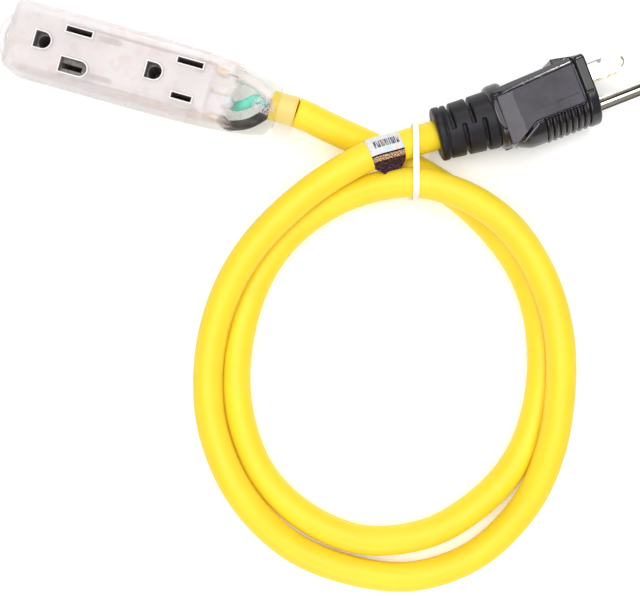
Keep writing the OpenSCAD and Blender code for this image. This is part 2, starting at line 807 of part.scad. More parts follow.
prong_places = [[blade_y, slot_offset], [blade_y, -slot_offset], [pin_y, 0]];

module plug_crimps() {
    color([0.72, 0.5, 0.24]) at_plug() for (p = prong_places)
        translate([-bridge_len, p.x, p.y]) rotate([0, -90, 0]) crimp_barrel(plug_crimp_len);
}

// A plug wire bends from its crimp into the cord's end
module plug_wire(place, a) {
    stop = [collar_x, relief_y, 0] + 5.2 * [cos(relief_bend), -sin(relief_bend), 0];
    side = [sin(relief_bend), cos(relief_bend), 0];
    x0 = -bridge_len - plug_crimp_len;
    at_plug() wire([[x0, place.x, place.y], [x0 - 1.2, place.x, place.y],
        [x0 - 4, place.x * 0.75, place.y * 0.75],
        lay_point(stop, side, a)], wire_r);
}

module plug_wire_ends() {
    color([0.8, 0.45, 0.25]) at_plug() for (p = prong_places)
        translate([-bridge_len - plug_crimp_len, p.x, p.y]) rotate([0, 90, 0])
            cylinder(h = plug_crimp_len - 1, r = strand_r - 0.02, $fn = 48);
}

module plug_white_wire() {
    color("white") plug_wire(prong_places[1], -60);
}

module plug_black_wire() {
    color([0.06, 0.06, 0.06]) plug_wire(prong_places[0], 60);
}

module plug_green_wire() {
    color([0.1, 0.62, 0.45]) plug_wire(prong_places[2], 180);
}

module plug_jacket_end() {
    color([1, 0.87, 0]) at_plug() at_relief() translate([0, 0, -4])
        cylinder(h = relief_len + 4, r = cord_r);
}

// Stepped sleeve with staggered ring grooves, so that it bends with the cord
module plug_relief() {
    profile = [[cord_r, 0], [10.8, 0], [10.5, 2], [9.8, 18.4], [10, 18.6], [10, 20.2],
        [9.2, relief_len], [cord_r, relief_len]];
    groove = 1.3;
    color([0.22, 0.22, 0.24]) at_plug() at_relief() difference() {
        rotate_extrude() polygon(profile);
        for (i = [0 : 3]) translate([0, 0, 3.3 + 3.7 * i]) mirror([0, i % 2, 0]) difference() {
            cylinder(h = groove, r = 13);
            translate([0, 0, -1]) cylinder(h = groove + 2, r = 8);
            translate([-14, -14, -1]) cube([28, 12.8, groove + 2]);
        }
    }
}

block_overmold();
carrier_base();
carrier_cover();
ground_liner_1();
ground_liner_2();
neutral_liner_1();
neutral_liner_2();
hot_liner_1();
hot_liner_2();
neutral_contact_1();
neutral_contact_2();
hot_contact_1();
hot_contact_2();
ground_contact_1();
ground_contact_2();
neutral_bus();
hot_bus();
ground_bus();
contact_rivets();
contact_tails();
pilot_lamp();
lamp_resistor();
lamp_leads();
block_white_wire();
block_black_wire();
block_green_wire();
block_wire_ends();
block_jacket_end();
cord_grommet();
cord_jacket();
cord_label();
tie_strap();
tie_head();
plug_relief();
plug_jacket_end();
plug_body();
blade_bridge();
hot_blade();
neutral_blade();
ground_pin();
plug_crimps();
plug_white_wire();
plug_black_wire();
plug_green_wire();
plug_wire_ends();
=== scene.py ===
"""Short extension cord: clear two-outlet block, looped yellow cord, tie, label and dark moulded plug."""
import math

import bpy
import numpy as np
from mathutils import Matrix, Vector


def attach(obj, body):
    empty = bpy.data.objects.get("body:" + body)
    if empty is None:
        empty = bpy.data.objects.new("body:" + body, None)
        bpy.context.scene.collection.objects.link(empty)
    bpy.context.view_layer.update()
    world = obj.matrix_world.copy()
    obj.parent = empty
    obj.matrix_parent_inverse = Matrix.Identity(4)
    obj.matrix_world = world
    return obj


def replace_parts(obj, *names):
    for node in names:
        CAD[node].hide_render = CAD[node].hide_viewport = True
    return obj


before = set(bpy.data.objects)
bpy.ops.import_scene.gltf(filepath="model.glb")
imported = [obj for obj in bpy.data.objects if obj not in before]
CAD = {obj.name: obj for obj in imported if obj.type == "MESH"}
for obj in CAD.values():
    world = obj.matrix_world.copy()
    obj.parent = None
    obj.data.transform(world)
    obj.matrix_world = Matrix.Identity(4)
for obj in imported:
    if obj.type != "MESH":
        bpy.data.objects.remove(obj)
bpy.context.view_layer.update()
MM = 0.001
UP = np.array([0, 0, 1.0])

# ---------------------------------------------------------------- facts from the CAD, in millimetres
# Block: its end face, the middles of its ground openings and slots, and the neck where the cord leaves it
AXIS_Z = 13.0
BLOCK_HALF = 13.0
END_X = -50.3
GROUND_X = (END_X + 13.4, END_X + 54.4)
GROUND_TO_SLOT = 11.9
SLOT_X = [x + GROUND_TO_SLOT for x in GROUND_X]
SLOT_Y = 6.35
NECK = np.array([END_X + 98.7, 1.2, AXIS_Z])
EXIT_DIR = np.array([1.0, 0, 0])
EXIT = NECK + 7.9 * EXIT_DIR
CORD_R = 5.5

# Plug: its face's middle, its own axes, the prongs on its face and the strain relief at its back
YAW = math.radians(36.8)
PLUG = np.array([156.4, 38.3, AXIS_Z])
PLUG_X = np.array([math.cos(YAW), math.sin(YAW), 0])
PLUG_Y = np.array([-math.sin(YAW), math.cos(YAW), 0])
BLADE_V = 4.6
BLADE_EDGE = BLADE_V + 6.35 / 2
PIN_V = BLADE_V - GROUND_TO_SLOT
RELIEF = math.radians(5.5)
RELIEF_FACE = np.array([-36.9, 1.9, 0])
RELIEF_LEN = 21.0


def plug_world(u, v, w=0):
    """Point of the plug's own frame (out of the face, to the blades' side, up) in the row frame."""
    return PLUG + u * PLUG_X + v * PLUG_Y + w * UP


RELIEF_OUT = -math.cos(RELIEF) * PLUG_X + math.sin(RELIEF) * PLUG_Y
RELIEF_END = plug_world(*RELIEF_FACE) + RELIEF_LEN * RELIEF_OUT

# ---------------------------------------------------------------- camera
CAMERA_TURN = math.radians(15.6)
cam_data = bpy.data.cameras.new("camera")
cam_data.type = "PERSP"
cam_data.sensor_width = 36
cam_data.lens = 74.95
cam_data.clip_start, cam_data.clip_end = 0.01, 20
camera = bpy.data.objects.new("camera", cam_data)
camera.location = (0.0829, -0.0619, 0.500)
camera.rotation_euler = (0, 0, CAMERA_TURN)
bpy.context.scene.collection.objects.link(camera)
bpy.context.scene.camera = camera

# ---------------------------------------------------------------- mesh helpers


def add_mesh(name, verts, faces, smooth=True):
    """New object from points in millimetres; it rides on the one body."""
    mesh = bpy.data.meshes.new(name)
    points = [tuple(float(c) * MM for c in v) for v in verts]
    mesh.from_pydata(points, [], [tuple(int(i) for i in f) for f in faces])
    mesh.validate()
    mesh.update()
    if smooth:
        mesh.shade_smooth()
    obj = bpy.data.objects.new(name, mesh)
    bpy.context.scene.collection.objects.link(obj)
    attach(obj, "root")
    return obj


def catmull(points, start, end, steps):
    """Smooth curve through points, with its first and last headings given."""
    p = [np.array(q, float) for q in points]
    first = p[0] - np.linalg.norm(p[1] - p[0]) * np.array(start)
    last = p[-1] + np.linalg.norm(p[-1] - p[-2]) * np.array(end)
    p = [first] + p + [last]
    out = []
    for i in range(len(p) - 3):
        a, b, c, d = p[i : i + 4]
        for k in range(steps):
            t = k / steps
            square, cube = 2 * a - 5 * b + 4 * c - d, 3 * b - a - 3 * c + d
            out.append(0.5 * (2 * b + (c - a) * t + square * t * t + cube * t**3))
    out.append(p[-2])
    return np.array(out)


def tube(name, line, radius, sides, ripple=None):
    """Round tube along a line of points, with flat ends. UV: x round it, y along it in metres."""
    n = len(line)
    tangent = np.gradient(line, axis=0)
    tangent /= np.linalg.norm(tangent, axis=1)[:, None]
    side = np.cross(tangent[0], UP)
    run = np.concatenate([[0], np.cumsum(np.linalg.norm(np.diff(line, axis=0), axis=1))])
    angle = np.arange(sides) * 2 * math.pi / sides
    rings = []
    for i in range(n):
        side = side - tangent[i] * side.dot(tangent[i])
        side /= np.linalg.norm(side)
        up = np.cross(side, tangent[i])
        r = radius + (ripple(angle, run[i]) if ripple else 0)
        rings.append(line[i] + (np.cos(angle) * r)[:, None] * side + (np.sin(angle) * r)[:, None] * up)
    faces = [tuple(range(sides - 1, -1, -1)), tuple((n - 1) * sides + k for k in range(sides))]
    for i in range(n - 1):
        for k in range(sides):
            m = (k + 1) % sides
            faces.append((i * sides + k, i * sides + m, (i + 1) * sides + m, (i + 1) * sides + k))
    obj = add_mesh(name, np.concatenate(rings), faces)
    uv = obj.data.uv_layers.new(name="along")
    for poly in obj.data.polygons:
        corners = [(j, *divmod(obj.data.loops[j].vertex_index, sides)) for j in poly.loop_indices]
        columns = [column for _, _, column in corners]
        wraps = max(columns) - min(columns) > sides / 2
        for j, row, column in corners:
            round_it = column + (sides if wraps and column < sides / 2 else 0)
            uv.data[j].uv = (round_it / sides, run[row] * MM)
    return obj


def smax(a, b, k):
    """Larger of two fields, with the edge where they meet rounded over a width of k."""
    h = np.maximum(k - np.abs(a - b), 0) / k
    return np.maximum(a, b) + h * h * k / 4


def smin(a, b, k):
    """Smaller of two fields, with the corner where they meet filled over a width of k."""
    return -smax(-a, -b, k)


def onto_surface(points, field, step):
    """Each point moved a little, three times, to where the field is 0."""
    h = 0.02
    for _ in range(3):
        x, y, z = points.T
        value = field(x, y, z)
        grad = np.stack([
            field(x + h, y, z) - field(x - h, y, z),
            field(x, y + h, z) - field(x, y - h, z),
            field(x, y, z + h) - field(x, y, z - h)], axis=1) / (2 * h)
        size = np.maximum((grad**2).sum(1), 0.05)
        move = -(value / size)[:, None] * grad
        length = np.linalg.norm(move, axis=1)
        points = points + move * np.minimum(1, 0.35 * step / np.maximum(length, 1e-9))[:, None]
    return points


def surface(name, lo, hi, step, field, place=None):
    """Closed mesh of the surface where field(x, y, z) is 0, with one point in each grid cell it crosses."""
    lo = np.array(lo, float)
    n = np.ceil((np.array(hi) - lo) / step).astype(int) + 1
    axes = [lo[i] + step * np.arange(n[i]) for i in range(3)]
    f = field(*np.meshgrid(*axes, indexing="ij"))
    cells = tuple(n - 1)
    count = np.zeros(cells)
    total = np.zeros(cells + (3,))
    edges = []
    # where the field changes sign along a grid edge, the four cells round that edge share its crossing
    for axis in range(3):
        a, b = [x for x in range(3) if x != axis]
        low, high = [slice(None)] * 3, [slice(None)] * 3
        low[axis], high[axis] = slice(0, n[axis] - 1), slice(1, n[axis])
        f0, f1 = f[tuple(low)], f[tuple(high)]
        crossing = (f0 < 0) != (f1 < 0)
        t = np.where(crossing, f0 / np.where(crossing, f0 - f1, 1), 0)
        edges.append((axis, a, b, crossing, f0 < 0))
        for da in (0, 1):
            for db in (0, 1):
                s = [slice(None)] * 3
                s[a] = slice(da, n[a] - 1 + da)
                s[b] = slice(db, n[b] - 1 + db)
                c, tt = crossing[tuple(s)], t[tuple(s)]
                count += c
                total[..., axis] += tt
                total[..., a] += c * da
                total[..., b] += c * db
    mixed = count > 0
    index = np.full(cells, -1)
    index[mixed] = np.arange(mixed.sum())
    points = lo + step * (np.argwhere(mixed) + total[mixed] / count[mixed][:, None])
    points = onto_surface(points, field, step)
    # each crossed edge gives one face through the points of its four cells
    quads = []
    for axis, a, b, crossing, inside in edges:
        where = np.argwhere(crossing)
        ok = (where[:, a] > 0) & (where[:, a] < n[a] - 1) & (where[:, b] > 0) & (where[:, b] < n[b] - 1)
        where = where[ok]
        corner = []
        for da, db in ((-1, -1), (0, -1), (0, 0), (-1, 0)):
            c = where.copy()
            c[:, a] += da
            c[:, b] += db
            corner.append(index[tuple(c.T)])
        quad = np.stack(corner, axis=1)
        flip = inside[tuple(where.T)] == (axis == 1)
        quad[flip] = quad[flip][:, ::-1]
        quads.append(quad)
    return add_mesh(name, points if place is None else place(points), np.concatenate(quads))


# ---------------------------------------------------------------- material helpers


class Look:
    """A material, with short ways to add nodes; a value is a number, a colour or another node's output."""

    def __init__(self, name):
        self.mat = bpy.data.materials.new(name)
        self.mat.use_nodes = True
        self.tree = self.mat.node_tree
        self.bsdf = self.tree.nodes["Principled BSDF"]

    def put(self, socket, value):
        if isinstance(value, bpy.types.NodeSocket):
            self.tree.links.new(value, socket)
        else:
            socket.default_value = (*value, 1) if socket.type == "RGBA" else value

    def set(self, **values):
        """Fills the surface's own inputs, with _ for a space in their names."""
        for key, value in values.items():
            self.put(self.bsdf.inputs[key.replace("_", " ")], value)

    def node(self, kind, inputs, output, **settings):
        """Named output of a new node."""
        n = self.tree.nodes.new("ShaderNode" + kind)
        for key, value in settings.items():
            setattr(n, key, value)
        for key, value in inputs.items():
            self.put(n.inputs[key], value)
        return n.outputs[output]

    def coords(self, kind="Object"):
        return self.node("TexCoord", {}, kind)

    def axis(self, name, kind="Object"):
        return self.node("SeparateXYZ", {"Vector": self.coords(kind)}, name)

    def noise(self, scale, detail, kind="Object", stretch=None):
        vector = self.coords(kind)
        if stretch:
            vector = self.node("Mapping", {"Vector": vector, "Scale": stretch}, "Vector")
        return self.node("TexNoise", {"Vector": vector, "Scale": scale, "Detail": detail}, "Fac")

    def span(self, value, low, high, out_low=0.0, out_high=1.0, kind="SMOOTHSTEP"):
        """Number that goes from out_low to out_high while the value goes from low to high."""
        ends = {"Value": value, "From Min": low, "From Max": high, "To Min": out_low, "To Max": out_high}
        return self.node("MapRange", ends, "Result", interpolation_type=kind)

    def join(self, kind, a, b):
        return self.node("Math", {0: a, 1: b}, "Value", operation=kind)

    def mix(self, factor, a, b, kind="MIX"):
        inputs = {"Factor": factor, "A": a, "B": b}
        return self.node("Mix", inputs, "Result", data_type="RGBA", blend_type=kind)

    def ramp(self, value, stops, kind="LINEAR"):
        colour = self.node("ValToRGB", {"Fac": value}, "Color")
        ramp = colour.node.color_ramp
        ramp.interpolation = kind
        while len(ramp.elements) < len(stops):
            ramp.elements.new(0.5)
        for element, (at, stop) in zip(ramp.elements, stops):
            element.position, element.color = at, (*stop, 1)
        return colour

    def bump(self, height, strength, distance):
        inputs = {"Height": height, "Strength": strength, "Distance": distance}
        self.set(Normal=self.node("Bump", inputs, "Normal"))

    def stain(self, factor, other):
        """The base colour turns to another where the factor is 1."""
        own = self.bsdf.inputs["Base Color"].links[0].from_socket
        self.set(Base_Color=self.mix(factor, own, other))

    def from_above(self, kind, other, low, high, out_low, out_high):
        """Number set by a point's place seen from above; other is a point in metres, or a direction."""
        flat = self.node("VectorMath", {0: self.coords(), 1: (1, 1, 0)}, "Vector", operation="MULTIPLY")
        value = self.node("VectorMath", {0: flat, 1: [float(c) for c in other]}, "Value", operation=kind)
        return self.span(value, low * MM, high * MM, out_low, out_high, "LINEAR")

    def past(self, direction, low, high):
        """0 up to low millimetres along a direction, and 1 from high on."""
        return self.from_above("DOT_PRODUCT", direction, low, high, 0, 1)

    def near(self, place, low, high):
        """1 up to low millimetres away from a place, and 0 from high on."""
        return self.from_above("DISTANCE", place * (MM, MM, 0), low, high, 1, 0)


def material(name, colour, rough=0.5, vary=0.06, scale=120.0, grain=900.0, bump=0.03, depth=0.0002,
             rough_vary=0.08, **sockets):
    """Moulded or drawn surface: cloudy colour, uneven gloss and fine grain, all from noise."""
    look = Look(name)
    cloud = look.noise(scale, 4)
    low = [max(0, c * (1 - vary)) for c in colour]
    high = [min(1, c * (1 + vary)) for c in colour]
    gloss = look.span(cloud, 0, 1, max(0.02, rough - rough_vary), min(1, rough + rough_vary), "LINEAR")
    look.set(Base_Color=look.ramp(cloud, [(0.3, low), (0.7, high)]), Roughness=gloss, **sockets)
    look.bump(look.noise(grain, 3), bump, depth)
    return look


def dress(obj, look):
    """Puts a material on an object."""
    obj.data.materials.clear()
    obj.data.materials.append(look.mat)
    return obj


# ---------------------------------------------------------------- materials
# insulation and moulded plastic
yellow = material("yellow_jacket", (0.93, 0.695, 0.03), rough=0.45, vary=0.035, scale=60, grain=1400,
                  bump=0.12, depth=0.0001, Specular_IOR_Level=0.4)
white_pvc = material("white_insulation", (0.9, 0.88, 0.83), rough=0.4)
black_pvc = material("black_insulation", (0.008, 0.008, 0.009), vary=0.3, Specular_IOR_Level=0.15)
green_pvc = material("green_insulation", (0.14, 0.80, 0.61), rough=0.45)
milky = material("milky_tray", (0.86, 0.75, 0.725), scale=90, Alpha=0.72)
tie_mat = material("tie_nylon", (0.87, 0.84, 0.73), rough=0.4, vary=0.03, scale=200)
ring_mat = material("clear_ring", (0.85, 0.76, 0.71), rough=0.25, vary=0.1, scale=260, grain=400, bump=0.1,
                    Alpha=0.14, Coat_Weight=0.4, Coat_Roughness=0.15)
lamp_mat = material("lamp_glass", (0.8, 0.7, 0.85), rough=0.08, vary=0.03, Alpha=0.45)
clay = material("resistor_body", (0.62, 0.52, 0.34), vary=0.1)

# metal
brass = material("stamped_brass", (0.62, 0.42, 0.18), rough=0.35, vary=0.1, scale=300, Metallic=1.0)
tail_brass = material("tarnished_brass", (0.17, 0.07, 0.012), rough=0.6, vary=0.3, scale=400,
                      Specular_IOR_Level=0.1)
tin = material("tinned_wire", (0.6, 0.6, 0.6), rough=0.35, vary=0.08, scale=500, Metallic=1.0)
copper = material("copper_strand", (0.8, 0.4, 0.22), rough=0.4, vary=0.1, scale=900, Metallic=1.0)
POLISH = {"rough_vary": 0.04, "vary": 0.05, "scale": 300, "grain": 2500, "Metallic": 1.0}
plated = material("plated_prong", (0.80, 0.75, 0.64), rough=0.12, **POLISH)
pin_metal = material("plated_pin", (0.80, 0.75, 0.64), rough=0.12, **POLISH)
blade_metal = material("plated_blade", (0.88, 0.85, 0.78), rough=0.16, **POLISH)

# the plug's plastic: glossy body, dull relief, matt flat sides and a polished edge, with a rear bevel whose
# paler colour is painted light
dark = material("plug_plastic", (0.016, 0.014, 0.018), rough=0.18, vary=0.15, scale=140, grain=1500,
                depth=0.0001, rough_vary=0.03)
sleeve_mat = material("relief_plastic", (0.017, 0.015, 0.019), rough=0.42, vary=0.2, scale=160, grain=1900,
                      bump=0.3, depth=0.0001, Specular_IOR_Level=0.22)
panel_mat = material("plug_panel", (0.048, 0.041, 0.054), vary=0.45, scale=110, grain=1600, bump=0.25,
                     depth=0.0001, Specular_IOR_Level=0.42)
# paler than the flat sides: painted light for what the rear bevel's slope catches
lit_bevel_mat = material("plug_rear_bevel_painted_light", (0.088, 0.078, 0.094), rough=0.45, vary=0.2, scale=150, grain=1600,
                     bump=0.2, depth=0.0001, Specular_IOR_Level=0.45)
edge_mat = material("plug_polished_edge", (0.05, 0.045, 0.056), rough=0.14, vary=0.1, scale=200, bump=0.0,
                    rough_vary=0.03, Specular_IOR_Level=1.0)


def liner_look():
    """Dark liner whose rim, level with the top of the block, is pale."""
    rim_low, rim_high = 0.02575, 0.0259
    look = material("dark_liner", (0.27, 0.245, 0.235), rough=0.6, vary=0.35, scale=900)
    look.stain(look.span(look.axis("Z"), rim_low, rim_high), (0.85, 0.8, 0.8))
    return look


def clear_look():
    """Skin that is hazy round the tray, clears unevenly towards the neck, and is cloudy by the jacket;
    where it clears its grey is partly painted shade, and its pale specks are partly painted glints.
    """
    look = material("clear_moulding", (0.88, 0.83, 0.84), rough=0.3, vary=0.04, scale=70, grain=300,
                    bump=0.05, Coat_Weight=0.3, Coat_Roughness=0.2)
    along = look.axis("X")
    front = look.join("ADD", along, look.join("MULTIPLY", look.noise(260, 2), 0.009))
    haze = look.span(front, 0.0355, 0.0405, 0.55, 0.15)
    # cloud of specks round one place in the neck, in millimetres: more solid, cloudy plastic whose pale
    # colour is painted glints
    centre, radii = (44.3, -0.9, 20), (6.6, 5.4, 12)
    inside = {"Vector": look.coords(), "Scale": [1 / (r * MM) for r in radii],
              "Location": [-c / r for c, r in zip(centre, radii)]}
    ball = look.node("TexGradient", {"Vector": look.node("Mapping", inside, "Vector")}, "Fac",
                     gradient_type="SPHERICAL")
    specks = look.span(look.noise(1300, 3), 0.36, 0.6, 0.2, 0.8)
    specks_and_glints = look.join("MULTIPLY", look.span(ball, 0.1, 0.45), specks)
    look.set(Alpha=look.join("MAXIMUM", haze, specks_and_glints))
    # the grey where the skin clears is partly the plastic's faint tint and partly painted shade for the
    # light the clear moulding bends away
    look.stain(look.span(front, 0.036, 0.041), (0.30, 0.275, 0.265))
    # painted glints: the specks' pale lilac colour
    look.stain(specks_and_glints, (0.72, 0.70, 0.78))
    mottle = look.span(look.noise(170, 3), 0.47, 0.62, 0, 0.8)
    look.stain(look.join("MULTIPLY", mottle, look.span(along, 0.0, 0.03, 0.55, 1)), (0.80, 0.67, 0.62))
    return look


def paint_blade_shade(look):
    """Painted shade on the top blade: a grey line along its outer edge near the face, with a spot, and a
    painted shadow on the hole's far rim.
    """
    corner, hole = plug_world(0, BLADE_EDGE), plug_world(11.9, BLADE_V)
    edge = corner.dot(PLUG_Y)
    far = np.array([math.cos(CAMERA_TURN), math.sin(CAMERA_TURN), 0])
    line = look.join("MULTIPLY", look.past(PLUG_Y, edge - 0.9, edge - 0.4), look.near(corner, 6.5, 9.5))
    line = look.join("MAXIMUM", look.near(plug_world(5.6, 7.2), 0.7, 1.4), line)
    beyond = look.past(far, hole.dot(far) + 0.7, hole.dot(far) + 1.3)
    rim = look.join("MULTIPLY", look.near(hole, 2.5, 2.7), beyond)
    # painted shade: the line and spot darken the edge, and the rim is painted as the hole's shadow
    look.stain(look.join("MAXIMUM", line, rim), (0.15, 0.145, 0.135))


def paint_pin_reflection_and_shade(look):
    """Painted dark reflection and painted shade on the ground pin: a dark reflection line near its middle,
    and a shade line along its side away from the blades.
    """
    axis = plug_world(0, PIN_V).dot(PLUG_Y)
    above = look.past(PLUG_Y, axis + 0.1, axis + 0.3)
    middle = look.join("MULTIPLY", above, look.past(-PLUG_Y, -axis - 1.5, -axis - 1.2))
    side = look.past(-PLUG_Y, -axis + 1.6, -axis + 1.9)
    # painted dark reflection (middle line) and painted shade (side line), not the pin's own colour
    look.stain(look.join("MAXIMUM", side, middle), (0.025, 0.022, 0.02))


liner = liner_look()
clear = clear_look()
# painted shade on the top blade
paint_blade_shade(blade_metal)
# painted dark reflection and shade on the ground pin
paint_pin_reflection_and_shade(pin_metal)

# ---------------------------------------------------------------- cord
ROUTE = [
    (71, -1, 10.2), (87, -3, 6.2), (104, -6.5, 6.6), (122, -12, 6.1), (139, -21, 5.7),
    (154, -34, 5.6), (165, -52, 5.6), (171, -75, 5.6), (170, -98, 5.6), (161, -118, 5.6),
    (145, -135, 5.6), (122, -144, 5.6), (98, -141, 5.6), (78, -129, 5.6), (64, -108, 5.6),
    (58, -84, 5.6), (59, -60, 5.6), (67, -40, 7), (82, -23.5, 11), (102, -13, 16),
    (122, -12, 17.8), (141, -18, 17), (157, -31, 16.2), (169, -49, 15.8), (176, -70, 15.4),
    (179, -93, 13.4), (176, -116, 8.6), (164, -138, 5.8), (144, -152, 5.6), (120, -156, 5.9),
    (96, -152.5, 7.6), (74, -139, 11), (58, -119, 10.8), (50, -96, 11.2), (49, -72, 13),
    (55, -49, 15.8), (68, -27, 18.2), (84, -9.5, 18.9), (96.5, -0.8, 16.8),
]
FINE = 40


def cord_route(steps):
    return catmull([EXIT, *ROUTE, RELIEF_END], EXIT_DIR, -RELIEF_OUT, steps)


def lay_lobes(angle, run):
    """The three conductors inside show as a faint slow twist in the jacket."""
    return 0.035 * np.cos(3 * angle - run * 2 * math.pi / 70) - 0.03


route = cord_route(12)
fine_route = cord_route(FINE)
cord = dress(tube("cord", route, CORD_R, 40, lay_lobes), yellow)
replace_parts(cord, "cord_jacket")

# ---------------------------------------------------------------- label, a wrap that ends in a flap
LABEL_FROM, LABEL_LONG = 38.15, 0.8
LABEL_IN, LABEL_OUT = CORD_R + 0.05, CORD_R + 0.22
FAR_EDGE, FLAP_EDGE = 205, 14


def across_cord(u, a, r, out=0.0):
    """Point at place u of the route, a degrees round the cord from its right, and out sideways."""
    i = u * FINE
    k = int(i)
    here = fine_route[k] + (fine_route[k + 1] - fine_route[k]) * (i - k)
    ahead = fine_route[k + 1] - fine_route[k - 1]
    side = np.cross(ahead, UP)
    side /= np.linalg.norm(side)
    up = np.cross(side, ahead / np.linalg.norm(ahead))
    return here + r * (math.cos(math.radians(a)) * side + math.sin(math.radians(a)) * up) + out * side


def label_wrap(s, t):
    """Outer and inner point of the part round the cord; s runs along it, t from far edge to flap."""
    a = FAR_EDGE - (FAR_EDGE - FLAP_EDGE) * t
    u = LABEL_FROM + LABEL_LONG * s
    lift = 0.05 * math.sin(9 * s + 6.16 * t) * t**2
    return across_cord(u, a, LABEL_OUT + lift), across_cord(u, a, LABEL_IN)


def label_flap(s, t):
    """Outer and inner point of the flap, which narrows, bends down and ends in a shallow notch."""
    u = LABEL_FROM + LABEL_LONG * (s + t * (0.26 * (1 - s) - 0.24 * s))
    out = 3.1 * t - 0.6 * t * (1 - s) * s
    drop = (0.28 * math.sin(7 * s + 2) - 1.15) * t * UP
    inner = across_cord(u, FLAP_EDGE, LABEL_IN, out) + drop - 0.05 * UP
    return across_cord(u, FLAP_EDGE, LABEL_OUT, out) + drop, inner


def label_sheet():
    """Thin closed sheet; UV x runs along the cord and y from the far edge to the flap's tip."""
    nu, wrap, flap = 28, 44, 8
    places = [(label_wrap, j / wrap) for j in range(wrap + 1)]
    places += [(label_flap, j / flap) for j in range(1, flap + 1)]
    pairs = [part(i / nu, t) for part, t in places for i in range(nu + 1)]
    n, m = nu + 1, len(places)
    back = n * m
    faces = []
    for j in range(m - 1):
        for i in range(nu):
            a, b, c, d = j * n + i, j * n + i + 1, (j + 1) * n + i + 1, (j + 1) * n + i
            faces += [(a, b, c, d), (back + d, back + c, back + b, back + a)]
    rim = list(range(n)) + [j * n + nu for j in range(1, m)]
    rim += [(m - 1) * n + i for i in range(nu - 1, -1, -1)] + [j * n for j in range(m - 2, 0, -1)]
    faces += [(b, a, back + a, back + b) for a, b in zip(rim, rim[1:] + rim[:1])]
    obj = add_mesh("label_sheet", [outer for outer, _ in pairs] + [inner for _, inner in pairs], faces)
    uv = obj.data.uv_layers.new(name="print")
    for loop in obj.data.loops:
        j, i = divmod(loop.vertex_index % back, n)
        uv.data[loop.index].uv = (i / nu, j / (m - 1))
    return obj


def label_look():
    """Generic print: silvery part with a row of dark bars, a dark rule, a tan band and a dark plum end."""
    look = Look("label_print")
    black, white = (0, 0, 0), (1, 1, 1)
    along, down = look.axis("X", "UV"), look.axis("Y", "UV")

    def cloud(scale, stretch, detail, stops):
        return look.ramp(look.noise(scale, detail, "UV", stretch), stops)

    def between(value, low, high=None):
        stops = [(0, black), (low, white)] + ([(high, black)] if high else [])
        return look.ramp(value, stops, "CONSTANT")

    def times(a, b):
        return look.mix(1, a, b, "MULTIPLY")

    film_tints = [(0.35, (0.80, 0.66, 0.58)), (0.5, (0.80, 0.80, 0.82)), (0.62, (0.58, 0.76, 0.84))]
    film_specks = [(0.4, (0.82, 0.76, 0.75)), (0.55, white)]
    film = times(cloud(3, (2, 3, 1), 3, film_tints), cloud(38, (1, 2, 1), 3, film_specks))
    bars = cloud(1, (34, 2.4, 1), 2, [(0.46, black), (0.52, white)])
    bars = times(times(bars, between(down, 0.33, 0.46)), between(along, 0.16, 0.9))
    tan_tints = [(0.42, (0.05, 0.015, 0.02)), (0.5, (0.40, 0.20, 0.15)), (0.58, (0.85, 0.6, 0.3))]
    tan = cloud(12, (2.5, 5, 1), 4, tan_tints)
    plum = cloud(8, (2, 3, 1), 4, [(0.42, (0.012, 0.002, 0.006)), (0.62, (0.10, 0.045, 0.07))])
    rule_from, tan_from, plum_from = 0.565, 0.59, 0.68
    upper = look.mix(bars, film, (0.03, 0.035, 0.06))
    upper = look.mix(between(down, rule_from, tan_from), upper, (0.015, 0.01, 0.012))
    lower = look.mix(between(down, plum_from), tan, plum)
    print_colour = look.mix(between(down, tan_from), upper, lower)
    look.set(Base_Color=print_colour, Roughness=0.35, Specular_IOR_Level=0.15)
    look.bump(look.noise(6, 3, "UV", (1, 2, 1)), 0.15, 0.0003)
    return look


label = dress(label_sheet(), label_look())
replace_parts(label, "cord_label")

# ---------------------------------------------------------------- clear block


def rounded_box(a, b, ha, hb, r):
    """Signed distance of a rounded rectangle with half sides ha and hb."""
    qa, qb = np.abs(a) - ha + r, np.abs(b) - hb + r
    return np.hypot(np.maximum(qa, 0), np.maximum(qb, 0)) + np.minimum(np.maximum(qa, qb), 0) - r


def d_outline(x, y, grow):
    """Ground opening: round towards the cord, flat towards the block's end."""
    r = 2.95 + grow
    return np.where(x > 0, np.hypot(x, y) - r, np.maximum(np.abs(y) - r, -x - 2.9 - grow))


def wide_outline(x, y, grow):
    """The first outlet's hot opening: round towards the cord, flat towards the block's end."""
    r, middle = 2.65 + grow, 3.4
    return np.where(x > middle, np.hypot(x - middle, y) - r, np.maximum(np.abs(y) - r, -x - 3.85 - grow))


def neck_frame(x, y, z):
    """Distance along the neck's axis from the neck, and distance from that axis."""
    return x - NECK[0], np.hypot(y - NECK[1], z - AXIS_Z)


def block_body(x, y, z):
    """Long box that tapers and rounds in to the neck, with the hang loop on its end."""
    d = rounded_box(y, z - AXIS_Z, BLOCK_HALF, BLOCK_HALF, 3.6)
    d = smax(d, END_X - x, 4.5)
    taper_x, taper = NECK[0] - 23, 0.104
    d = smax(d, (np.abs(y) - BLOCK_HALF + (x - taper_x) * taper) * 0.995, 3)
    t = np.clip((x - NECK[0] + 30) / 30, 0, 1)
    radius = 9 + 9.4 * (1 - t**1.8) ** 0.8
    d = smax(d, (np.hypot(y, z - AXIS_Z) - radius) * 0.8, 2.5)
    d = smax(d, x - NECK[0] + 0.3, 1.6)
    along, across = neck_frame(x, y, z)
    d = smin(d, smax(across - 8.4, np.abs(along + 1.5) - 2.5, 0.8), 1.0)
    loop = smax(np.abs(np.hypot(x - END_X - 5, y) - 9.45) - 1.55, np.abs(z - AXIS_Z) - 1.6, 1.3)
    return smin(d, np.maximum(loop, x - END_X - 1.5), 0.7)


